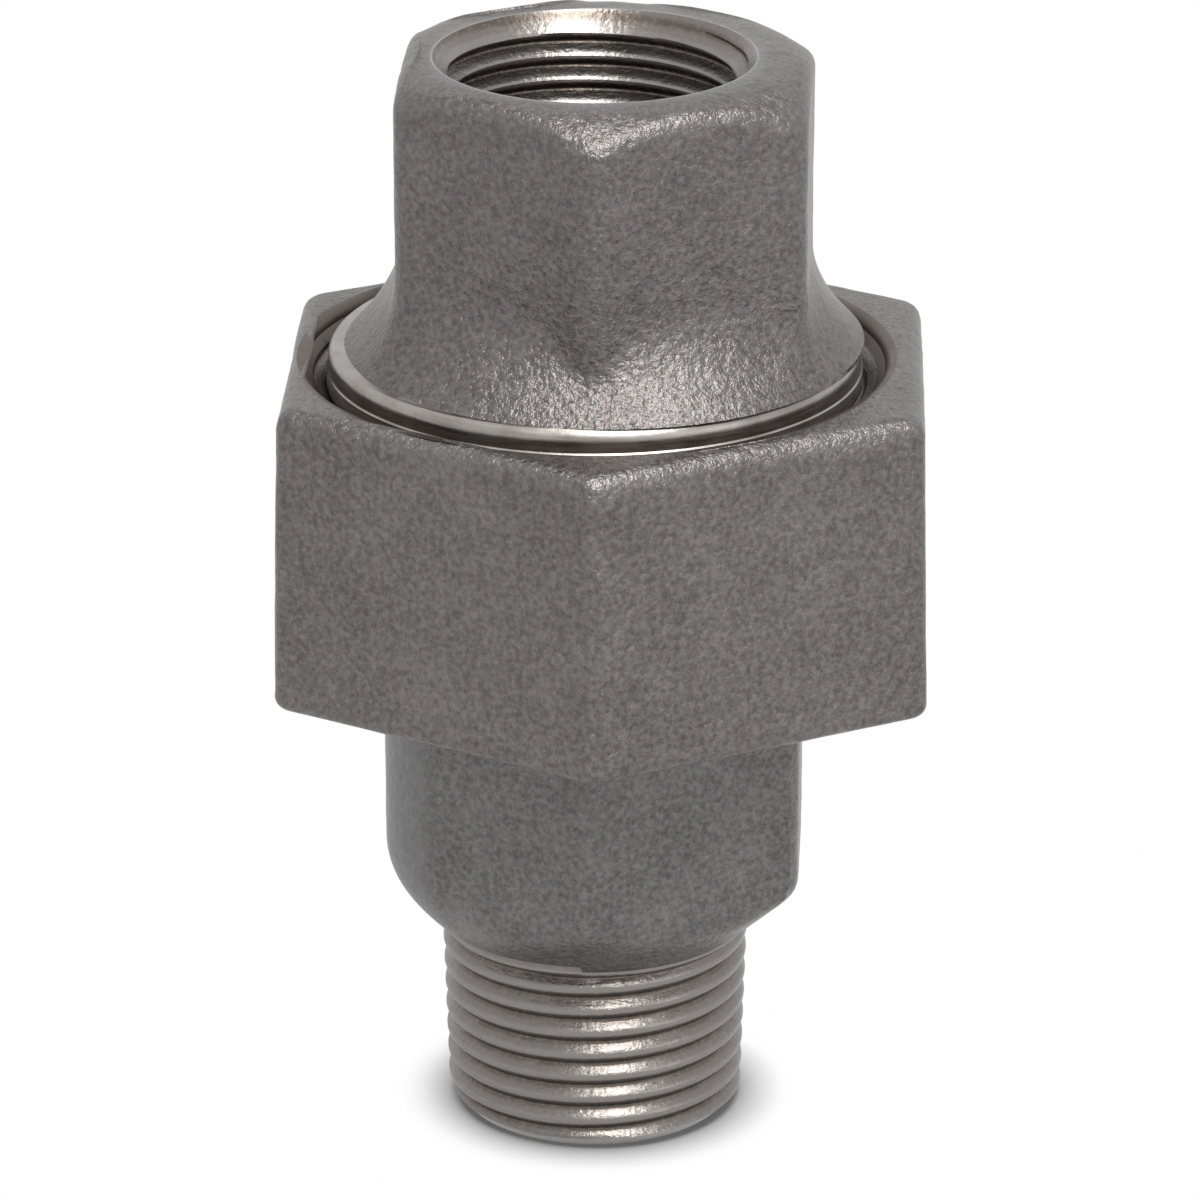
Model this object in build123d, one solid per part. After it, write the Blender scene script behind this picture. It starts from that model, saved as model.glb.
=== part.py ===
from build123d import *
import math
import os

# Malleable iron union for 3/8 inch pipe, male by female, with a conical iron to iron seat.
# Three castings: a male tail, a female head and the hexagonal nut that draws them together.
# Units are millimetres. The axis is +Z, and z = 0 is the end of the male thread.
# Threads are plain here: pipe threads at their crests, the union thread at its pitch diameter.

# Pipe threads R 3/8 and Rp 3/8 of ISO 7-1, and the parallel union thread, 14 threads to the inch
pipe_pitch = 25.4 / 19
pipe_major_diameter = 16.662
pipe_taper = 1 / 16
pipe_gauge_length = 6.4
union_pitch = 25.4 / 14
depth_per_pitch = 0.640327

# Clearances
union_thread_clearance = 0.05
seat_clearance = 0.1
hexagon_passing_clearance = 0.15
collar_clearance = 0.25
head_face_gap = 1.0

# Male tail
male_thread_length = 11.0
male_thread_chamfer = 0.7
tail_bore_diameter = 11.5
tail_bore_chamfer = 0.5
tail_hexagon_flats = 22.6
tail_hexagon_height = 15.0
tail_corner_radius = 1.8
tail_ground_corner_radius = 5.0
tail_shoulder_radius = 8.6
tail_shoulder_angle = 42.0
tail_neck_length = 4.1
tail_neck_radial_step = 0.45
tail_collar_thickness = 2.4
seat_half_angle = 42.0
seat_nose_height = 3.5
seat_nose_rim_width = 1.6

# Union nut
nut_height = 17.0
nut_wall_at_flats = 1.85
nut_draft_angle = 1.3
nut_corner_radius = 1.1
nut_edge_radius = 0.6
nut_lip_thickness = 3.35
nut_lip_chamfer = 0.5
nut_bearing_width = 0.85
nut_relief_length = 2.0
nut_relief_depth = 0.2
nut_countersink_land = 0.45

# Female head
head_hexagon_flats = 21.8
head_corner_radius = 1.8
head_hexagon_height = 12.45
head_crown_radius = 9.9
head_crown_angle = 24.0
head_bore_chamfer = 1.13
head_flare_angle = 42.0
head_flare_hollow_radius = 4.0
head_flare_overlap = 0.15
head_land_height = 1.8
head_land_step = 0.4
head_land_chamfer = 0.35
head_thread_length = 8.7
head_thread_chamfer = 0.6
female_thread_length = 12.0
head_waterway_diameter = 13.6

# Turn of each hexagon about the axis, from a corner that points along -Y
tail_hexagon_turn = -2.5
nut_hexagon_turn = -1.9
head_hexagon_turn = -3.3

COS_30 = math.cos(math.radians(30))


def corner_reach(flats, corner_radius):
    """Radius of the circle round a hexagon whose corners are rounded."""
    return flats / 2 / COS_30 - corner_radius * (1 / COS_30 - 1)


def rise(run, angle):
    """Height gained over a run, at an angle from the horizontal."""
    return run * math.tan(math.radians(angle))


# Radii, from the tail's hexagon outwards: each piece passes through or seats in the next
tail_reach = corner_reach(tail_hexagon_flats, tail_corner_radius)
nut_lip_bore_radius = tail_reach + hexagon_passing_clearance
tail_collar_radius = nut_lip_bore_radius + nut_bearing_width
union_minor_radius = tail_collar_radius + collar_clearance
union_depth = depth_per_pitch * union_pitch
union_major_radius = union_minor_radius + union_depth
head_thread_radius = union_minor_radius + union_depth / 2 - union_thread_clearance / 2
nut_thread_radius = head_thread_radius + union_thread_clearance
nut_relief_radius = union_major_radius + nut_relief_depth
nut_flats = 2 * (union_major_radius + nut_wall_at_flats)
nut_mouth_radius = union_major_radius + nut_countersink_land
tail_neck_radius = nut_lip_bore_radius - tail_neck_radial_step
head_land_radius = union_minor_radius + head_land_step
head_reach = corner_reach(head_hexagon_flats, head_corner_radius)
pipe_major_radius = pipe_major_diameter / 2
pipe_minor_radius = pipe_major_radius - depth_per_pitch * pipe_pitch
tail_bore_radius = tail_bore_diameter / 2
head_waterway_radius = head_waterway_diameter / 2

# Heights, from the male thread's end upwards
tail_hexagon_top = male_thread_length + tail_hexagon_height
collar_underside = tail_hexagon_top + tail_neck_length
collar_top = collar_underside + tail_collar_thickness
nut_lip_top = collar_underside - seat_clearance
nut_base = nut_lip_top - nut_lip_thickness
nut_top = nut_base + nut_height
head_face = collar_top + head_face_gap
head_thread_top = head_face + head_thread_length
head_land_top = head_thread_top + head_land_height

# Flare: a cone from the land's chamfer up to the hexagon's flats, with a hollow where they meet
flare_foot_radius = head_land_radius - head_land_chamfer
flare_foot = head_land_top + head_land_chamfer
flare_slope = math.tan(math.radians(head_flare_angle))
head_hexagon_base = flare_foot + (flare_foot_radius - head_hexagon_flats / 2) / flare_slope
head_top = head_hexagon_base + head_hexagon_height

# Conical seat: the nose on the tail, and the same cone in the head a clearance away
seat_slope = math.tan(math.radians(seat_half_angle))
nose_top = collar_top + seat_nose_height
nose_rim_radius = tail_bore_radius + seat_nose_rim_width
nose_base_radius = nose_rim_radius + seat_nose_height * seat_slope
seat_gap_radial = seat_clearance / math.cos(math.radians(seat_half_angle))


def seat_radius(z):
    """Radius of the head's conical seat at a height."""
    return nose_base_radius - (z - collar_top) * seat_slope + seat_gap_radial


def turned(points):
    """Solid of revolution about Z from a closed profile of (radius, height) points."""
    profile = Plane.XZ * make_face(Polyline(*points, close=True))
    return revolve(profile, Axis.Z)


def hexagon(flats, corner_radius, turn):
    """Hexagon with rounded corners, one of them along -Y before its turn."""
    outline = RegularPolygon(flats / 2, 6, major_radius=False, rotation=30 + turn)
    return fillet(outline.vertices(), corner_radius)


def tail_outline():
    """Hexagon of the tail, whose left front corner has been ground rounder than the others."""
    half = tail_hexagon_flats / 2
    outline = RegularPolygon(half, 6, major_radius=False, rotation=30 + tail_hexagon_turn)
    ground_side = (-tail_hexagon_flats, -half, 0)
    outline = fillet(outline.vertices().sort_by_distance(ground_side)[1:], tail_corner_radius)
    return fillet(outline.vertices().sort_by_distance(ground_side)[0], tail_ground_corner_radius)


def male_tail():
    """Taper thread, hexagon, neck, and the collar and conical nose that the nut pulls up."""
    crest_at_end = pipe_major_radius - pipe_gauge_length * pipe_taper / 2
    crest_at_shoulder = crest_at_end + male_thread_length * pipe_taper / 2
    thread = turned(
        [
            (0, 0),
            (crest_at_end - male_thread_chamfer, 0),
            (crest_at_end + male_thread_chamfer * pipe_taper / 2, male_thread_chamfer),
            (crest_at_shoulder, male_thread_length),
            (0, male_thread_length),
        ]
    )
    prism = Pos(0, 0, male_thread_length) * extrude(tail_outline(), tail_hexagon_height)
    shoulder_rise = rise(tail_reach - tail_shoulder_radius, tail_shoulder_angle)
    shoulder = turned(
        [
            (0, male_thread_length),
            (tail_shoulder_radius, male_thread_length),
            (tail_reach, male_thread_length + shoulder_rise),
            (tail_reach, tail_hexagon_top),
            (0, tail_hexagon_top),
        ]
    )
    upper = turned(
        [
            (0, tail_hexagon_top),
            (tail_neck_radius, tail_hexagon_top),
            (tail_neck_radius, collar_underside),
            (tail_collar_radius, collar_underside),
            (tail_collar_radius, collar_top),
            (nose_base_radius, collar_top),
            (nose_rim_radius, nose_top),
            (0, nose_top),
        ]
    )
    bore = turned(
        [
            (0, 0),
            (tail_bore_radius + tail_bore_chamfer, 0),
            (tail_bore_radius, tail_bore_chamfer),
            (tail_bore_radius, nose_top - tail_bore_chamfer),
            (tail_bore_radius + tail_bore_chamfer, nose_top),
            (0, nose_top),
        ]
    )
    return thread + (prism & shoulder) + upper - bore


def union_nut():
    """Hexagon nut with a lip at its foot that bears on the tail's collar."""
    foot_flats = nut_flats + 2 * nut_height * math.tan(math.radians(nut_draft_angle))
    outline = hexagon(foot_flats, nut_corner_radius, nut_hexagon_turn)
    body = Pos(0, 0, nut_base) * extrude(outline, nut_height, taper=nut_draft_angle)
    rims = body.faces().sort_by(Axis.Z)
    body = fillet(rims[0].edges() + rims[-1].edges(), nut_edge_radius)
    relief_top = nut_lip_top + nut_relief_length
    cavity = turned(
        [
            (0, nut_base),
            (nut_lip_bore_radius + nut_lip_chamfer, nut_base),
            (nut_lip_bore_radius, nut_base + nut_lip_chamfer),
            (nut_lip_bore_radius, nut_lip_top),
            (nut_relief_radius, nut_lip_top),
            (nut_relief_radius, relief_top),
            (nut_thread_radius, relief_top + nut_relief_radius - nut_thread_radius),
            (nut_thread_radius, nut_top - nut_mouth_radius + nut_thread_radius),
            (nut_mouth_radius, nut_top),
            (0, nut_top),
        ]
    )
    return body - cavity


def flare_solid():
    """Cone that turns through a hollow into the hexagon, just inside its flats."""
    inner_radius = head_hexagon_flats / 2 - head_flare_overlap
    cone_top = flare_foot + (flare_foot_radius - inner_radius) / flare_slope
    outline = Polyline(
        (0, flare_foot),
        (flare_foot_radius, flare_foot),
        (inner_radius, cone_top),
        (inner_radius, cone_top + head_flare_hollow_radius),
        (0, cone_top + head_flare_hollow_radius),
        close=True,
    )
    profile = Plane.XZ * make_face(outline)
    root = profile.vertices().sort_by_distance((inner_radius, 0, cone_top))[0]
    return revolve(fillet(root, head_flare_hollow_radius), Axis.Z)


def female_head():
    """Hexagon with the female pipe thread, flared to the collar that carries the union thread."""
    flat = hexagon(head_hexagon_flats, head_corner_radius, head_hexagon_turn)
    prism = Pos(0, 0, flare_foot) * extrude(flat, head_top - flare_foot)
    crown_drop = rise(head_reach - head_crown_radius, head_crown_angle)
    crown = turned(
        [
            (0, flare_foot),
            (head_reach, flare_foot),
            (head_reach, head_top - crown_drop),
            (head_crown_radius, head_top),
            (0, head_top),
        ]
    )
    casting = flare_solid() + (prism & crown)
    collar = turned(
        [
            (0, head_face),
            (head_thread_radius - head_thread_chamfer, head_face),
            (head_thread_radius, head_face + head_thread_chamfer),
            (head_thread_radius, head_thread_top),
            (head_land_radius, head_thread_top),
            (head_land_radius, head_land_top),
            (flare_foot_radius, flare_foot),
            (0, flare_foot),
        ]
    )
    thread_end = head_top - female_thread_length
    seat_top = collar_top + (seat_radius(collar_top) - head_waterway_radius) / seat_slope
    waterway = turned(
        [
            (0, head_face),
            (seat_radius(head_face), head_face),
            (head_waterway_radius, seat_top),
            (head_waterway_radius, thread_end),
            (pipe_minor_radius, thread_end),
            (pipe_minor_radius, head_top - head_bore_chamfer),
            (pipe_minor_radius + head_bore_chamfer, head_top),
            (0, head_top),
        ]
    )
    return collar + casting - waterway


os.makedirs("parts", exist_ok=True)
export_step(male_tail(), "parts/male_tail.step")
export_step(union_nut(), "parts/union_nut.step")
export_step(female_head(), "parts/female_head.step")
print("Overall length:", round(head_top, 2), "mm")
print("Nut across flats:", round(nut_flats, 2), "mm at the top")
print("Union thread:", round(2 * union_major_radius, 3), "mm major diameter")
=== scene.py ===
"""Malleable iron union, 3/8 inch, male by female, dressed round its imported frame.

Each of the three castings is one closed skin, built ring by ring round the axis, with its
threads cut as true helices. Lengths here are millimetres; the meshes are written in metres.
"""
import math

import bpy
from mathutils import Matrix, Vector, noise


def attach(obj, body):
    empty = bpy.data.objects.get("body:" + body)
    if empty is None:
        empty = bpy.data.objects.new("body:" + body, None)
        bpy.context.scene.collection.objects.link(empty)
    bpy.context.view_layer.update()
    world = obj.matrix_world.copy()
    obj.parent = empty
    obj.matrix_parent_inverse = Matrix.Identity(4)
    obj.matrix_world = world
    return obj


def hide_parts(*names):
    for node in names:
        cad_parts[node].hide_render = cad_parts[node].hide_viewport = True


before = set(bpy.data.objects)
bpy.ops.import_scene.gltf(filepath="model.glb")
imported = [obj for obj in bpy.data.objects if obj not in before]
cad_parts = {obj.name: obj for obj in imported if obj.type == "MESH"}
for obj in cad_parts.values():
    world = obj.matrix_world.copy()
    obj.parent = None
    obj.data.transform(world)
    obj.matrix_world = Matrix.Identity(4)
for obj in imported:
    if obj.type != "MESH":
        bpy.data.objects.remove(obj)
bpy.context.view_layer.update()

MM = 0.001
TAU = 2 * math.pi
COS_30 = math.cos(math.radians(30))

# Slope of the conical seat, and of the flare over the head's land
CONE_SLOPE = math.tan(math.radians(42))

# Threads: pipe threads R and Rp 3/8, and the parallel union thread, 14 threads to the inch.
# DEPTH and ROUNDING are the Whitworth form's, in pitches; a phase is a share of a turn.
PIPE_PITCH = 25.4 / 19
PIPE_MAJOR = 16.662 / 2
PIPE_GAUGE = 6.4
PIPE_SLOPE = 1 / 32
UNION_PITCH = 25.4 / 14
DEPTH = 0.640327
ROUNDING = 0.137329
FLANK = math.radians(27.5)
UNION_MINOR = 14.019
UNION_MAJOR = UNION_MINOR + DEPTH * UNION_PITCH
UNION_PLAY = 0.025
PIPE_MINOR = PIPE_MAJOR - DEPTH * PIPE_PITCH
UNION_PHASE = 0.0
BORE_PHASE = 0.354
PIPE_PHASE = 0.419

# Heights up the axis
SHOULDER = 11.0
TAIL_TOP = 26.0
COLLAR_UNDER = 30.1
COLLAR_TOP = 32.5
NOSE_TOP = 36.0
NUT_BASE = 26.65
NUT_TOP = 43.65
LIP_TOP = 30.0
HEAD_FACE = 33.5
HEAD_THREAD_TOP = 42.2
FLARE_FOOT = 44.35
PIPE_END = 48.32
HEAD_TOP = 60.32

# How far each casting sits off its machined axis, towards +X, as in the photograph
HEAD_SHIFT = 0.62
NUT_SHIFT = 0.6
TAIL_SHIFT = 0.02

# Distance between rings that all but touch, where one finish ends and the next starts
NEAR = 0.01

# Width and height of the bumps in a sand-cast skin
SAND = ((6.5, 0.07), (2.4, 0.035), (1.0, 0.018))

# Edges that are sharper than this aren't shaded smooth
SHARP = math.radians(32)

# Order of the materials on each casting
CAST, MACHINED, THREAD, OIL_AND_SHADE = range(4)


def smooth(x):
    """Smooth step from 0 to 1."""
    x = min(max(x, 0.0), 1.0)
    return x * x * (3 - 2 * x)


def soft_max(a, b, width):
    """Larger of two lengths, with a hollow of the given width where they meet."""
    h = max(width - abs(a - b), 0.0) / width
    return max(a, b) + h * h * width / 4


def soft_min(a, b, width):
    """Smaller of two lengths, rounded off over the given width where they meet."""
    return -soft_max(-a, -b, width)


def thread_drop(turns):
    """Depth below the crest, in pitches, of a Whitworth thread whose crest is at turns = 0."""
    t = abs(turns - round(turns))
    arc = ROUNDING * math.cos(FLANK)
    if t < arc:
        return ROUNDING - math.sqrt(ROUNDING**2 - t * t)
    if t > 0.5 - arc:
        t = 0.5 - t
        return DEPTH - ROUNDING + math.sqrt(ROUNDING**2 - t * t)
    return ROUNDING * (1 - math.sin(FLANK)) + (t - arc) / math.tan(FLANK)


class Hexagon:
    """Cast hexagon with rounded corners, shifted along X, as a radius round the machined axis.

    turn is in degrees, and corners are the six radii, counted from the front corner.
    """

    def __init__(self, turn, corners, shift):
        self.turn = math.radians(turn)
        self.corners = corners
        self.shift = shift

    def from_corner(self, angle):
        """Index of the nearest corner, counted from the front one, and the angle to it."""
        place = (angle + math.pi / 2 - self.turn) / (math.pi / 3)
        index = round(place)
        return index % 6, (place - index) * math.pi / 3

    def centred(self, angle, half_flats):
        """Radius round the hexagon's own axis."""
        index, off = self.from_corner(angle)
        corner = self.corners[index]
        centre = (half_flats - corner) / COS_30
        edge = math.atan2(corner / 2, centre + corner * COS_30)
        if abs(off) >= edge:
            return half_flats / math.cos(math.pi / 6 - abs(off))
        return centre * math.cos(off) + math.sqrt(corner**2 - (centre * math.sin(off)) ** 2)

    def radius(self, angle, half_flats):
        """Radius round the machined axis, found in a few rounds."""
        c, s = math.cos(angle), math.sin(angle)
        r = half_flats
        for _ in range(3):
            rho = self.centred(math.atan2(r * s, r * c - self.shift), half_flats)
            r = self.shift * c + math.sqrt(rho**2 - (self.shift * s) ** 2)
        return r

    def angles(self, half_flats, corner_half, corner_steps, flat_steps):
        """Angles of one turn from the back seam, closer together at the corners.

        corner_half is half of a corner's stretch, in degrees.
        """
        half = math.radians(corner_half)
        offsets = [-half + 2 * half * i / corner_steps for i in range(corner_steps)]
        flat = math.pi / 3 - 2 * half
        offsets += [half + flat * i / flat_steps for i in range(flat_steps)]
        found = []
        for k in range(6):
            for off in offsets:
                own = math.pi / 2 + self.turn + k * math.pi / 3 + off
                rho = self.centred(own, half_flats)
                angle = math.atan2(rho * math.sin(own), rho * math.cos(own) + self.shift)
                found.append(angle + TAU * round((own - angle) / TAU))
        return found


class Skin:
    """Closed surface of one casting: outside upwards, then inside back down.

    Two values ride on each point for the materials: groove is 1 down in a thread's root, and
    ground is 1 where the cast skin is ground away; over the cast top edges it also carries a
    lightening that is partly wear and partly a painted highlight.
    """

    def __init__(self, name, angles):
        self.name = name
        self.angles = angles
        self.points, self.groove, self.ground = [], [], []
        self.faces, self.slots = [], []
        self.first = self.last = None

    def point(self, angle, r, z, groove=0.0, ground=0.0):
        self.points.append((r * math.cos(angle), r * math.sin(angle), z))
        self.groove.append(groove)
        self.ground.append(ground)
        return len(self.points) - 1

    def quad(self, corners, slot):
        unique = list(dict.fromkeys(corners))
        if len(unique) > 2:
            self.faces.append(unique)
            self.slots.append(slot)

    def ring(self, shape, slot):
        """Adds a ring. shape is (r, z), or a function of the angle that gives point's values."""
        ids = []
        for angle in self.angles:
            ids.append(self.point(angle, *(shape(angle) if callable(shape) else shape)))
        if self.last:
            self.band(self.last, ids, slot)
        else:
            self.first = ids
        self.last = ids
        return ids

    def band(self, a, b, slot):
        """Faces between two rings."""
        count = len(self.angles)
        for k in range(count):
            n = (k + 1) % count
            self.quad((a[k], a[n], b[n], b[k]), slot)

    def steps(self, start, end, count, slot):
        """Plain rings from one (r, z) to another, without the first."""
        for i in range(1, count + 1):
            f = i / count
            self.ring((start[0] + (end[0] - start[0]) * f, start[1] + (end[1] - start[1]) * f), slot)

    def thread(self, radius, low, high, pitch, phase, slot, down=False):
        """Right-hand helical thread between two heights, wound upwards or, with down, downwards.

        radius gives the radius and the groove for (z, turns, angle), with turns whole along one
        helix. At angle 0 that is where z / pitch + phase is whole. Rows of points follow the
        helix, and they are cut off level at both ends.
        """
        arc = ROUNDING * math.cos(FLANK)
        half_marks = [0, arc / 2, arc, 0.25, 0.5 - arc, 0.5 - arc / 2]
        marks = half_marks + [0.5 + m for m in half_marks]
        per_pitch = len(marks)
        snap = 0.02
        seam = self.angles[0]
        phase -= seam / TAU

        def values(z, angle):
            return radius(z, z / pitch - (angle - seam) / TAU + phase, angle)

        def edge(z):
            return lambda angle: (values(z, angle)[0], z, values(z, angle)[1])

        entry = self.ring(edge(high if down else low), slot)
        exit_ids = [self.point(a, *edge(low if down else high)(a)) for a in self.angles]
        bottom, top = (exit_ids, entry) if down else (entry, exit_ids)
        first = math.floor(low / pitch + phase) - 1
        rows = []
        for whole in range(first, math.ceil(high / pitch + phase) + 2):
            rows += [(whole + m - phase) * pitch for m in marks]
        lattice = []
        for base in rows:
            ids = []
            for k, angle in enumerate(self.angles):
                z = base + pitch * (angle - seam) / TAU
                if z <= low + snap:
                    ids.append(bottom[k])
                elif z >= high - snap:
                    ids.append(top[k])
                else:
                    r, groove = values(z, angle)
                    ids.append(self.point(angle, r, z, groove))
            lattice.append(ids)
        count = len(self.angles)
        for j in range(len(rows) - 1):
            for k in range(count):
                a, b = lattice[j][k], lattice[j + 1][k]
                if k + 1 < count:
                    c, d = lattice[j + 1][k + 1], lattice[j][k + 1]
                else:
                    c = lattice[j + 1 + per_pitch][0] if j + 1 + per_pitch < len(rows) else top[0]
                    d = lattice[j + per_pitch][0] if j + per_pitch < len(rows) else top[0]
                self.quad((a, b, c, d) if down else (a, d, c, b), slot)
        self.last = exit_ids

    def build(self, body, node, materials):
        """Closes the skin, makes the mesh with its materials, ties it to its body and hides the
        imported node it stands for.
        """
        self.band(self.last, self.first, self.slots[-1])
        mesh = bpy.data.meshes.new(self.name)
        used = sorted({i for face in self.faces for i in face})
        place = {old: new for new, old in enumerate(used)}
        points = [tuple(c * MM for c in self.points[i]) for i in used]
        mesh.from_pydata(points, [], [[place[i] for i in face] for face in self.faces])
        for material in materials:
            mesh.materials.append(material)
        mesh.polygons.foreach_set("material_index", self.slots)
        mesh.polygons.foreach_set("use_smooth", [True] * len(self.faces))
        for label, values in (("groove", self.groove), ("ground", self.ground)):
            layer = mesh.attributes.new(label, "FLOAT", "POINT")
            layer.data.foreach_set("value", [values[i] for i in used])
        mesh.validate()
        mesh.update()
        mesh.set_sharp_from_angle(angle=SHARP)
        piece = bpy.data.objects.new(self.name, mesh)
        bpy.context.collection.objects.link(piece)
        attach(piece, body)
        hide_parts(node)
        return piece


def sand(angle, r, z, seed):
    """Unevenness of a sand-cast skin, along the surface's outward direction."""
    p = Vector((r * math.cos(angle), r * math.sin(angle), z + seed))
    return sum(height * noise.noise(p / width) for width, height in SAND)


def left_side(angle):
    """1 towards -X, fading to 0 before the front and the back."""
    return smooth((-0.4 - math.cos(angle)) / 0.35)


def top_edge(side, top, drop, radius):
    """For an angle: the side's radius, the height where the edge's arc starts, and its sweep."""
    reach = 0.02

    def values(angle):
        r = side(angle)
        fall = drop(r, angle)
        sweep = math.pi / 2 - math.atan((fall - drop(r - reach, angle)) / reach)
        return r, top - fall - radius * math.tan(sweep / 2), sweep

    return values


def rounded_top(skin, edge, top, drop, radius, seed, inner, steps, fade=0.0):
    """Cast arc over the top edge, then the cast face inwards to the inner radius.

    drop is how far the face lies below top. The arc is lightened, partly as wear and partly as a
    painted highlight, and the face gets as ground as fade says where it meets the inner radius.
    """
    arc_steps = 8
    edge_sheen_and_wear = 0.35
    for i in range(1, arc_steps + 1):

        def arc(angle, f=i / arc_steps):
            r, z, sweep = edge(angle)
            out = sand(angle, r, z, seed)
            bend = sweep * f
            rho = r - radius + (radius + out) * math.cos(bend)
            # Lightening of the arc: partly wear, partly a painted highlight
            sheen_and_wear = edge_sheen_and_wear * math.sin(math.pi * f) * (0.6 + 0.8 * noise.noise((r, 2 * angle, seed)))
            return rho, z + (radius + out) * math.sin(bend), 0.0, sheen_and_wear

        skin.ring(arc, CAST)
    for i in range(1, steps + 1):

        def over(angle, f=i / steps):
            r, z, sweep = edge(angle)
            start = r - radius + radius * math.cos(sweep)
            rho = start + (min(inner, start - 0.1) - start) * f
            near = smooth((f - 0.7) / 0.3)
            height = top - drop(rho, angle) + sand(angle, rho, z, seed) * (1 - near)
            return rho, height, 0.0, fade * near

        skin.ring(over, CAST)


def make_head(materials):
    """Head: union collar, land and flare, hexagon, then the threaded bore and the hollow seat."""
    half_flats = 10.9
    cast = Hexagon(-3.3, [1.8] * 6, HEAD_SHIFT)
    skin = Skin("head_casting", cast.angles(half_flats, 6, 14, 38))
    seed = 0
    waterway = 6.8
    seat_foot = 9.735
    seat_top = HEAD_FACE + (seat_foot - waterway) / CONE_SLOPE
    mouth = PIPE_MINOR + 1.13

    # Union thread: near its top the roots rise, and the crests fall, to the collar's radius
    collar = 14.42
    root_slope, crest_slope = 0.45, 0.9
    lead_in = 13.9
    face_edge = 13.7

    def union(z, turns, angle):
        drop = thread_drop(turns) * UNION_PITCH
        below = HEAD_THREAD_TOP - z
        r = max(UNION_MAJOR - UNION_PLAY - drop, collar - root_slope * below)
        r = min(r, lead_in + z - HEAD_FACE, collar + crest_slope * below)
        return r, drop / (DEPTH * UNION_PITCH)

    skin.ring((seat_foot, HEAD_FACE), MACHINED)
    skin.steps((seat_foot, HEAD_FACE), (face_edge, HEAD_FACE), 3, MACHINED)
    skin.thread(union, HEAD_FACE, HEAD_THREAD_TOP, UNION_PITCH, UNION_PHASE, THREAD)

    # Land: a little narrower than the collar, with a bead over its top edge
    land = 14.34
    land_foot = HEAD_THREAD_TOP + 0.85
    flare = 14.07
    bead = 0.8
    bead_width = 0.34
    bead_steps = 6
    bead_sweep = math.acos(1 - bead_width / bead)
    bead_foot = FLARE_FOOT - NEAR - bead * math.sin(bead_sweep)
    skin.ring((collar, HEAD_THREAD_TOP), MACHINED)
    skin.steps((collar, HEAD_THREAD_TOP), (collar, land_foot), 2, MACHINED)
    skin.ring((land, land_foot + collar - land), MACHINED)
    skin.ring((land, bead_foot), MACHINED)
    for i in range(1, bead_steps + 1):
        bend = bead_sweep * i / bead_steps
        skin.ring((land - bead * (1 - math.cos(bend)), bead_foot + bead * math.sin(bend)), MACHINED)
    flare_rim = collar - 2 * NEAR
    skin.ring(lambda a: (min(flare + HEAD_SHIFT * math.cos(a), flare_rim), FLARE_FOOT + NEAR), MACHINED)

    # Hexagon with the flare at its foot, and a top that is nearly level and then falls to the edge
    edge_radius = 1.3
    top_slope = 0.05
    fall_slope = math.tan(math.radians(37))
    fall_start = 10.75
    fall_offset = 0.35
    fall_heading = math.radians(50)
    blend = 0.4

    def drop(rho, angle):
        start = fall_start + fall_offset * math.cos(angle - fall_heading)
        past = blend * math.log1p(math.exp((rho - start) / blend))
        return top_slope * (rho - mouth) + fall_slope * past

    # Over the flare the fillet is wider at the left, and nearly sharp under the front corner
    fillet, more_left, less_front = 1.7, 0.9, 1.2
    front_reach = 14
    rim_slope = 1.6
    rim_softness = 0.15
    rough_from = 1.2

    def side(angle, z):
        up = z - FLARE_FOOT
        cone = flare - up * CONE_SLOPE + HEAD_SHIFT * math.cos(angle)
        cone = soft_min(cone, collar + rim_slope * up, rim_softness)
        index, off = cast.from_corner(angle)
        front = 1 - smooth(abs(math.degrees(off)) / front_reach) if index == 0 else 0.0
        width = fillet + more_left * left_side(angle) - less_front * front
        r = soft_max(cast.radius(angle, half_flats), cone, width)
        return r + sand(angle, r, z, seed) * (0.4 + 0.6 * smooth(up / rough_from)), z

    edge = top_edge(lambda a: cast.radius(a, half_flats), HEAD_TOP, drop, edge_radius)
    skin.ring(lambda a: side(a, FLARE_FOOT + 2 * NEAR), CAST)
    flare_rows = 20
    row = 0.25
    for i in range(1, flare_rows + 1):
        skin.ring(lambda a, z=FLARE_FOOT + row * i: side(a, z), CAST)
    wall_foot = FLARE_FOOT + flare_rows * row
    wall_rows = 26
    for i in range(1, wall_rows + 1):
        skin.ring(lambda a, f=i / wall_rows: side(a, wall_foot + (edge(a)[1] - wall_foot) * f), CAST)
    rounded_top(skin, edge, HEAD_TOP, drop, edge_radius, seed, mouth + 0.1, 8, 1.0)

    # Bore: worn pipe thread, which starts to cut above the bore's end
    thread_depth = 0.72
    plain, lead = 0.2, 2.2

    def pipe(z, turns, angle):
        wave = (1 + math.cos(TAU * turns)) / 2
        r = PIPE_MINOR + thread_depth * wave**0.8 * smooth((z - PIPE_END - plain) / lead)
        return max(r, mouth + z - HEAD_TOP), wave

    skin.ring((mouth, HEAD_TOP), MACHINED)
    skin.thread(pipe, PIPE_END, HEAD_TOP - 2 * NEAR, PIPE_PITCH, BORE_PHASE, THREAD, down=True)
    skin.steps((PIPE_MINOR, PIPE_END), (waterway, PIPE_END), 2, MACHINED)
    skin.steps((waterway, PIPE_END), (waterway, seat_top), 8, MACHINED)
    skin.steps((waterway, seat_top), (seat_foot, HEAD_FACE + NEAR), 4, MACHINED)
    return skin.build("head", "female_head", materials)


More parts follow.
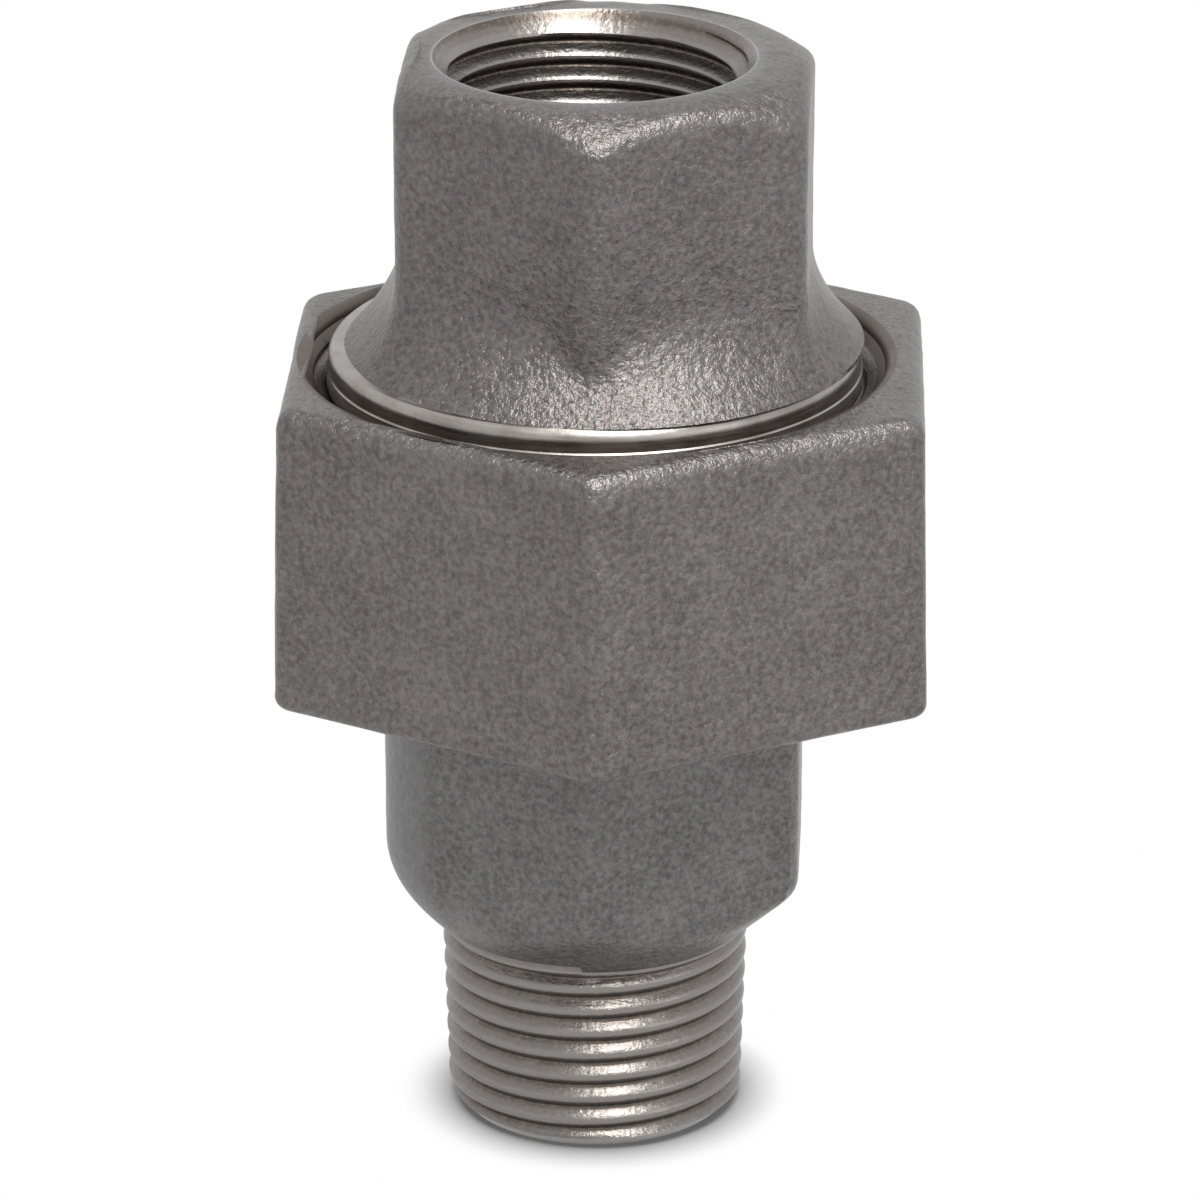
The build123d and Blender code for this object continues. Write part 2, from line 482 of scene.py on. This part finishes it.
def make_nut(materials):
    """Nut: hexagon with casting draft, rolled mouth, union thread, and the lip at the foot."""
    cast = Hexagon(-1.9, [1.1] * 6, NUT_SHIFT)
    skin = Skin("nut_casting", cast.angles(17.2, 2.6, 12, 40))
    seed = 90
    wall_over_thread = 1.85
    half_top = UNION_MAJOR + wall_over_thread
    draft = math.tan(math.radians(1.3))

    def side(angle, z):
        return cast.radius(angle, half_top + (NUT_TOP - z) * draft)

    # Underside and foot, lifted so that the bumps stay above the base
    lip = 12.92
    chamfer = 0.5
    under_start = lip + 0.7
    foot_radius = 0.7
    lift = 0.03
    under_steps, foot_steps = 7, 6
    skin.ring((lip + chamfer, NUT_BASE), MACHINED)
    skin.ring((under_start, NUT_BASE), CAST)
    for i in range(1, under_steps + 1):

        def under(angle, f=i / under_steps):
            rho = under_start + (side(angle, NUT_BASE) - foot_radius - under_start) * f
            bumps = sand(angle, rho, NUT_BASE, seed) * smooth(2 * f) * 0.5
            return rho, NUT_BASE - bumps + lift

        skin.ring(under, CAST)
    for i in range(1, foot_steps + 1):

        def foot(angle, f=i / foot_steps):
            r = side(angle, NUT_BASE)
            out = sand(angle, r, NUT_BASE, seed)
            bend = math.pi / 2 * (1 - f)
            rho = r - foot_radius + (foot_radius + out) * math.cos(bend)
            return rho, NUT_BASE + foot_radius - (foot_radius + out * f) * math.sin(bend) + lift

        skin.ring(foot, CAST)

    # Walls and top, which falls a little from the mouth outwards
    edge_radius = 1.1
    rim = 16.2
    level, top_slope = 0.3, 0.03

    def drop(rho, angle):
        return top_slope * max(rho - rim - level, 0.0)

    edge = top_edge(lambda a: side(a, NUT_TOP), NUT_TOP, drop, edge_radius)
    wall_foot = NUT_BASE + foot_radius
    wall_rows = 38
    for i in range(1, wall_rows + 1):

        def wall(angle, f=i / wall_rows):
            z = wall_foot + (edge(angle)[1] - wall_foot) * f
            r = side(angle, z)
            return r + sand(angle, r, z, seed), z

        skin.ring(wall, CAST)
    rounded_top(skin, edge, NUT_TOP, drop, edge_radius, seed, rim + 0.05, 5)

    # Mouth, rolled inwards to the thread, in a dark brown that is partly oil and partly painted shade
    # in the gap round the head
    mouth = UNION_MAJOR + 0.45
    roll = rim - mouth
    roll_steps = 5
    for i in range(1, roll_steps + 1):
        bend = math.pi / 2 * i / roll_steps
        skin.ring((rim - roll * math.sin(bend), NUT_TOP - roll * (1 - math.cos(bend))), OIL_AND_SHADE)

    thread_top = NUT_TOP - roll - 0.4
    thread_foot = 32.0
    relief = 15.38

    def union(z, turns, angle):
        drop = thread_drop(turns) * UNION_PITCH
        r = UNION_MAJOR + UNION_PLAY - drop
        r = max(r, UNION_MAJOR - (thread_top - z), relief - (z - thread_foot))
        return r, 1 - drop / (DEPTH * UNION_PITCH)

    skin.ring((UNION_MAJOR, thread_top), OIL_AND_SHADE)
    skin.thread(union, thread_foot, thread_top - NEAR, UNION_PITCH, UNION_PHASE, THREAD, down=True)
    skin.steps((relief, thread_foot), (relief, LIP_TOP), 3, MACHINED)
    skin.steps((relief, LIP_TOP), (lip, LIP_TOP), 3, MACHINED)
    skin.steps((lip, LIP_TOP), (lip, NUT_BASE + chamfer), 4, MACHINED)
    chamfer_end = (lip + chamfer - 2 * NEAR, NUT_BASE + 2 * NEAR)
    skin.steps((lip, NUT_BASE + chamfer), chamfer_end, 2, MACHINED)
    return skin.build("nut", "union_nut", materials)


def make_tail(materials):
    """Tail: taper thread, shoulder, hexagon, neck, and the collar with its conical nose."""
    half_flats = 11.3
    ground_corner = 5
    corners = [1.8] * 6
    corners[ground_corner] = 5.0
    cast = Hexagon(-2.5, corners, TAIL_SHIFT)
    skin = Skin("tail_casting", cast.angles(half_flats, 8, 16, 36))
    seed = 40
    bore = 5.75
    chamfer = 0.5

    # Worn pipe thread with a chamfered end, which runs out just below its top
    thread_top = 10.85
    thread_depth = 0.44
    runout_from, runout = 0.55, 0.5
    crest_at_end = PIPE_MAJOR - PIPE_GAUGE * PIPE_SLOPE
    lead_in = crest_at_end - 0.75
    lead_slope = 1.05

    def pipe(z, turns, angle):
        wave = (1 - math.cos(TAU * turns)) / 2
        low = thread_depth * wave**1.3 * (1 - smooth((z - thread_top + runout_from) / runout))
        r = crest_at_end + z * PIPE_SLOPE - low
        return min(r, lead_in + lead_slope * z), low / thread_depth

    skin_foot = SHOULDER - 0.05
    tool_rise = 0.3
    step_heading = 264.7

    def band_top(angle):
        """Height where the cast skin starts: the tool's spiral, with its step at the front."""
        turn = (math.degrees(angle) - step_heading) / 360
        turn -= math.floor(turn)
        return skin_foot + tool_rise * turn

    skin.ring((bore + chamfer, 0), MACHINED)
    skin.steps((bore + chamfer, 0), (lead_in, 0), 3, MACHINED)
    skin.thread(pipe, NEAR, thread_top, PIPE_PITCH, PIPE_PHASE, THREAD)
    band = crest_at_end + thread_top * PIPE_SLOPE
    skin_start = 8.58
    # The band above the thread takes the thread's flank colours, darker towards the shoulder
    skin.ring(lambda a: (band, thread_top + (band_top(a) - thread_top) * 0.5, 0.5), THREAD)
    skin.ring(lambda a: (band, band_top(a) - 3 * NEAR, 0.8), THREAD)
    skin.ring(lambda a: (skin_start, band_top(a)), CAST)

    # Hexagon on a coned shoulder, which is rounder at the left
    shoulder = 8.6
    shoulder_slope = 1.11
    softness, more_left = 0.9, 2.4

    # One corner is ground round, and a ragged ridge of flash stands at another; angles in degrees
    ground_share = 0.85
    ground_half, ground_blend = 7, 9
    ground_foot = 11.8
    flash_heading, flash_width = 325, 1.3
    flash_height = 0.22
    flash_foot = 13.5
    grow = 1.5

    def side(angle, z):
        index, off = cast.from_corner(angle)
        ground = 0.0
        if index == ground_corner:
            past = abs(math.degrees(off)) - ground_half
            ground = ground_share * (1 - smooth(past / ground_blend))
        cone = shoulder + (z - SHOULDER) * shoulder_slope
        r = soft_min(cast.radius(angle, half_flats), cone, softness + more_left * left_side(angle))
        rough = smooth((z - SHOULDER - 0.1) / 0.8)
        out = sand(angle, r, z, seed) * rough * (1 - 0.85 * ground)
        wander = 0.9 * noise.noise((0, 0, z / 1.3))
        ridge = max(1 - abs(math.degrees(angle) - flash_heading - wander) / flash_width, 0.0)
        ragged = 0.7 + 0.6 * noise.noise((3, 0, z / 0.5))
        out += flash_height * ridge * ragged * smooth((z - flash_foot) / grow)
        return r + out, z, 0.0, ground * smooth((z - ground_foot) / grow)

    shoulder_rows = 16
    wall_foot = SHOULDER + 5
    for i in range(1, shoulder_rows + 1):

        def lower(angle, f=i / shoulder_rows):
            start = band_top(angle)
            return side(angle, start + (wall_foot - start) * f)

        skin.ring(lower, CAST)
    edge_radius = 0.45
    wall_height = TAIL_TOP - edge_radius - wall_foot
    wall_rows = 30
    for i in range(1, wall_rows + 1):
        skin.ring(lambda a, z=wall_foot + wall_height * i / wall_rows: side(a, z), CAST)

    def drop(rho, angle):
        return 0.0

    top_inner = 10.6
    edge = top_edge(lambda a: cast.radius(a, half_flats), TAIL_TOP, drop, edge_radius)
    rounded_top(skin, edge, TAIL_TOP, drop, edge_radius, seed, top_inner, 3)

    neck = 12.47
    neck_foot = TAIL_TOP + 0.25
    collar = 13.77
    nose_rim = bore + 1.6
    nose_base = nose_rim + (NOSE_TOP - COLLAR_TOP) * CONE_SLOPE
    skin.steps((top_inner, TAIL_TOP), (neck, neck_foot), 2, MACHINED)
    skin.steps((neck, neck_foot), (neck, COLLAR_UNDER), 4, MACHINED)
    skin.steps((neck, COLLAR_UNDER), (collar, COLLAR_UNDER), 2, MACHINED)
    skin.steps((collar, COLLAR_UNDER), (collar, COLLAR_TOP), 2, MACHINED)
    skin.steps((collar, COLLAR_TOP), (nose_base, COLLAR_TOP), 3, MACHINED)
    skin.steps((nose_base, COLLAR_TOP), (nose_rim, NOSE_TOP), 4, MACHINED)
    skin.steps((nose_rim, NOSE_TOP), (bore + chamfer, NOSE_TOP), 2, MACHINED)
    skin.ring((bore, NOSE_TOP - chamfer), MACHINED)
    skin.steps((bore, NOSE_TOP - chamfer), (bore, chamfer), 12, MACHINED)
    skin.ring((bore + chamfer - 2 * NEAR, 2 * NEAR), MACHINED)
    return skin.build("tail", "male_tail", materials)


class Nodes:
    """Shorthand for a material's node tree."""

    def __init__(self, name):
        self.material = bpy.data.materials.new(name)
        self.material.use_nodes = True
        self.tree = self.material.node_tree
        self.shader = self.tree.nodes["Principled BSDF"]

    def add(self, kind, inputs=(), **settings):
        node = self.tree.nodes.new("ShaderNode" + kind)
        for key, value in settings.items():
            setattr(node, key, value)
        for key, value in dict(inputs).items():
            self.set(node.inputs[key], value)
        return node

    def set(self, socket, value):
        if isinstance(value, bpy.types.NodeSocket):
            self.tree.links.new(value, socket)
        else:
            socket.default_value = value

    def place(self, scale=(1, 1, 1)):
        """Object position in millimetres, stretched by a scale."""
        coords = self.add("TexCoord").outputs["Object"]
        factors = tuple(s / MM for s in scale)
        return self.add("Mapping", {"Vector": coords, "Scale": factors}).outputs[0]

    def noise(self, size, detail, rough=0.5, scale=(1, 1, 1)):
        """Noise with its largest grain about size millimetres wide."""
        inputs = {"Vector": self.place(scale), "Scale": 1 / size, "Detail": detail, "Roughness": rough}
        return self.add("TexNoise", inputs).outputs["Fac"]

    def ramp(self, value, stops):
        """Colour or grey between stops of (position, shade)."""
        node = self.add("ValToRGB", {"Fac": value})
        ramp = node.color_ramp
        while len(ramp.elements) < len(stops):
            ramp.elements.new(0.5)
        for element, (position, shade) in zip(ramp.elements, stops):
            element.position = position
            element.color = (*shade, 1) if isinstance(shade, tuple) else (shade, shade, shade, 1)
        return node.outputs["Color"]

    def mix(self, factor, a, b, blend="MIX"):
        node = self.add("Mix", data_type="RGBA", blend_type=blend)
        for socket, value in ((node.inputs[0], factor), (node.inputs[6], a), (node.inputs[7], b)):
            if isinstance(value, tuple):
                value = (*value, 1)
            self.set(socket, value)
        return node.outputs[2]

    def attribute(self, label):
        return self.add("Attribute", attribute_name=label).outputs["Fac"]

    def maths(self, kind, a, b, clamp=False):
        node = self.add("Math", operation=kind, use_clamp=clamp)
        self.set(node.inputs[0], a)
        self.set(node.inputs[1], b)
        return node.outputs[0]

    def bump(self, height, distance, strength, normal=None):
        """Bumps up to distance millimetres high, over those of another normal."""
        inputs = {"Height": height, "Distance": distance * MM, "Strength": strength}
        if normal:
            inputs["Normal"] = normal
        return self.add("Bump", inputs).outputs[0]

    def finish(self, **sockets):
        """Sets the shader's inputs by name, and gives the material."""
        for key, value in sockets.items():
            self.set(self.shader.inputs[key.replace("_", " ").title()], value)
        return self.material


def cast_iron(name, dark, light):
    """Black sand-cast iron: tight grain, slow blotches, and glints where it catches the light."""
    n = Nodes(name)
    blotch = n.ramp(n.noise(size=4.0, detail=5), ((0.3, dark), (0.7, light)))
    grain = n.noise(size=0.34, detail=3, rough=0.65)
    colour = n.mix(n.ramp(grain, ((0.35, 0.0), (0.66, 1.0))), tuple(0.6 * c for c in dark),
                   tuple(1.5 * c for c in light))
    colour = n.mix(0.5, blotch, colour)
    tint_size = 0.2
    tint = n.add("TexNoise", {"Vector": n.place(), "Scale": 1 / tint_size, "Detail": 2.0})
    colour = n.mix(0.25, colour, tint.outputs["Color"], "OVERLAY")
    # Ground-away skin takes a polished colour; on the top edges this is partly a painted highlight
    ground = n.attribute("ground")
    streaks = n.noise(size=0.4, detail=4, rough=0.7, scale=(1, 1, 0.5))
    polished = n.ramp(streaks, ((0.3, (0.145, 0.145, 0.148)), (0.7, (0.21, 0.21, 0.213))))
    colour = n.mix(ground, colour, polished)
    rough = n.ramp(grain, ((0.35, 0.25), (0.65, 0.37)))
    rough = n.mix(ground, rough, (0.36, 0.36, 0.36))
    keep = n.maths("SUBTRACT", 1.0, n.maths("MULTIPLY", ground, 0.35))
    coarse = n.bump(n.noise(size=1.0, detail=3, rough=0.6), 0.16, keep)
    fine = n.bump(grain, 0.13, keep, coarse)
    return n.finish(base_color=colour, metallic=0.8, roughness=rough, normal=fine)


def machined_steel(name, bright, brown, polish):
    """Turned face: fine rings left by the tool, and oil in patches. polish is its roughness."""
    n = Nodes(name)
    oil = n.ramp(n.noise(size=2.6, detail=4), ((0.42, bright), (0.72, brown)))
    rings = n.noise(size=0.16, detail=3, rough=0.6, scale=(0.05, 0.05, 1))
    colour = n.mix(n.ramp(rings, ((0.35, 0.0), (0.7, 0.5))), oil, tuple(1.3 * c for c in bright))
    rough = n.ramp(rings, ((0.3, polish - 0.05), (0.7, polish + 0.08)))
    dents = n.bump(n.noise(size=0.5, detail=3, rough=0.6), 0.02, 0.6)
    fine = n.bump(rings, 0.01, 0.5, dents)
    return n.finish(base_color=colour, metallic=1.0, roughness=rough, normal=fine)


def cut_thread(name):
    """Cut thread: lighter at the crests, partly a painted highlight, and dark brown down in the roots,
    partly oil and partly painted shade.
    """
    n = Nodes(name)
    depth = n.attribute("groove")
    stain = n.maths("SUBTRACT", n.noise(size=1.6, detail=4, rough=0.6), 0.5)
    shade = n.maths("ADD", depth, n.maths("MULTIPLY", stain, 0.5), clamp=True)
    # Crest to root: the light crest colour is partly a painted highlight, the dark root colours partly
    # oil and partly painted shade
    colour = n.ramp(shade, ((0.05, (0.24, 0.226, 0.213)), (0.25, (0.197, 0.182, 0.173)),
                            (0.7, (0.182, 0.165, 0.154)), (0.97, (0.12, 0.1, 0.086))))
    speck = n.noise(size=0.3, detail=3, rough=0.6)
    colour = n.mix(n.ramp(speck, ((0.5, 0.0), (0.7, 0.35))), colour, (0.26, 0.25, 0.24))
    rings = n.noise(size=0.1, detail=3, rough=0.6, scale=(0.08, 0.08, 1))
    rough = n.ramp(rings, ((0.3, 0.22), (0.7, 0.34)))
    fine = n.bump(rings, 0.012, 0.5, n.bump(speck, 0.05, 0.8))
    return n.finish(base_color=colour, metallic=0.9, roughness=rough, normal=fine)


def seen(tree, straight, other):
    """Shader that is one thing to the camera, gloss and glass, and another to the rest."""
    path = tree.nodes.new("ShaderNodeLightPath")
    direct = path.outputs["Is Camera Ray"]
    for kind in ("Is Glossy Ray", "Is Transmission Ray"):
        either = tree.nodes.new("ShaderNodeMath")
        either.operation = "MAXIMUM"
        tree.links.new(direct, either.inputs[0])
        tree.links.new(path.outputs[kind], either.inputs[1])
        direct = either.outputs[0]
    mix = tree.nodes.new("ShaderNodeMixShader")
    tree.links.new(direct, mix.inputs[0])
    tree.links.new(other, mix.inputs[1])
    tree.links.new(straight, mix.inputs[2])
    return mix.outputs[0]


def make_world():
    """Dim studio that is seen as plain white."""
    ambient = 0.42
    world = bpy.data.worlds.new("studio")
    world.use_nodes = True
    bpy.context.scene.world = world
    tree = world.node_tree
    soft = tree.nodes["Background"]
    soft.inputs["Color"].default_value = (0.97, 0.98, 1.0, 1)
    soft.inputs["Strength"].default_value = ambient
    white = tree.nodes.new("ShaderNodeBackground")
    white.inputs["Color"].default_value = (1, 1, 1, 1)
    white.inputs["Strength"].default_value = 1.0
    surface = tree.nodes["World Output"].inputs["Surface"]
    tree.links.new(seen(tree, white.outputs[0], soft.outputs[0]), surface)


def floor_paint():
    """Matt pale floor that looks paler in gloss. The camera sees it white, with a contact shadow."""
    pale = (0.85, 0.85, 0.85, 1)
    white = (1, 1, 1, 1)
    contact = 4 * MM
    paint = Nodes("pale_floor")
    tree = paint.tree
    tree.nodes.remove(paint.shader)
    matt = paint.add("BsdfDiffuse", {"Color": pale}).outputs[0]
    glow = paint.add("Emission", {"Color": white, "Strength": 1.0}).outputs[0]
    mirrored = paint.add("MixShader", {0: 0.62, 1: matt, 2: glow}).outputs[0]
    near = paint.add("AmbientOcclusion", {"Distance": contact}, samples=16).outputs["AO"]
    shade = paint.ramp(near, ((0.35, 0.12), (0.9, 1.0)))
    lit = paint.add("Emission", {"Color": shade, "Strength": 1.0}).outputs[0]
    camera_ray = paint.add("LightPath").outputs["Is Camera Ray"]
    mix = paint.add("MixShader", {0: camera_ray, 1: seen(tree, mirrored, matt), 2: lit})
    tree.links.new(mix.outputs[0], tree.nodes["Material Output"].inputs["Surface"])
    return paint.material


def make_floor():
    reach = 3.0
    corners = [(-reach, -reach, 0), (reach, -reach, 0), (reach, reach, 0), (-reach, reach, 0)]
    mesh = bpy.data.meshes.new("floor")
    mesh.from_pydata(corners, [], [(0, 1, 2, 3)])
    mesh.materials.append(floor_paint())
    floor = bpy.data.objects.new("floor", mesh)
    bpy.context.collection.objects.link(floor)


def add_lamp(name, place, target, size, watts, colour=(1, 1, 1)):
    """Area lamp that faces the target, with the first of its two sizes level along X."""
    data = bpy.data.lights.new(name, "AREA")
    data.shape = "RECTANGLE"
    data.size, data.size_y = size
    data.energy = watts
    data.color = colour
    lamp = bpy.data.objects.new(name, data)
    away = (Vector(place) - Vector(target)).normalized()
    side = (Vector((1, 0, 0)) - away * away.x).normalized()
    lamp.rotation_euler = Matrix((side, away.cross(side), away)).transposed().to_euler()
    lamp.location = place
    bpy.context.collection.objects.link(lamp)


def add_camera():
    """Camera where the photograph was taken from, by a fit to the thread's pitch and crests."""
    below_level = 21.49
    data = bpy.data.cameras.new("camera")
    data.sensor_width = 36
    data.lens = 198.65
    data.clip_start = 0.01
    camera = bpy.data.objects.new("camera", data)
    camera.location = (0.00028, -0.33619, 0.16171)
    camera.rotation_euler = (math.radians(90 - below_level), 0, 0)
    bpy.context.collection.objects.link(camera)
    bpy.context.scene.camera = camera


add_camera()
bpy.context.scene.view_settings.view_transform = "Standard"
make_world()
make_floor()
middle = (0, 0, 0.03)
add_lamp("key", (0.105, -0.261, 0.582), middle, (0.26, 0.56), 4.8, (1, 0.985, 0.965))
add_lamp("fill", (0.6, -0.5, 0.3), middle, (0.4, 0.4), 0.5)

steel = machined_steel("turned_face", (0.33, 0.315, 0.3), (0.2, 0.17, 0.15), 0.3)
# Dark brown finish for the nut's mouth: partly oil, partly painted shade
oil_and_shade = machined_steel("oil_and_shade_face", (0.12, 0.1, 0.088), (0.07, 0.05, 0.04), 0.42)
thread = cut_thread("cut_thread")
head_skin = cast_iron("head_skin", (0.106, 0.096, 0.095), (0.154, 0.142, 0.139))
nut_skin = cast_iron("nut_skin", (0.104, 0.094, 0.091), (0.159, 0.147, 0.141))
tail_skin = cast_iron("tail_skin", (0.094, 0.09, 0.089), (0.158, 0.149, 0.147))
make_head([head_skin, steel, thread, oil_and_shade])
make_nut([nut_skin, steel, thread, oil_and_shade])
make_tail([tail_skin, steel, thread, oil_and_shade])
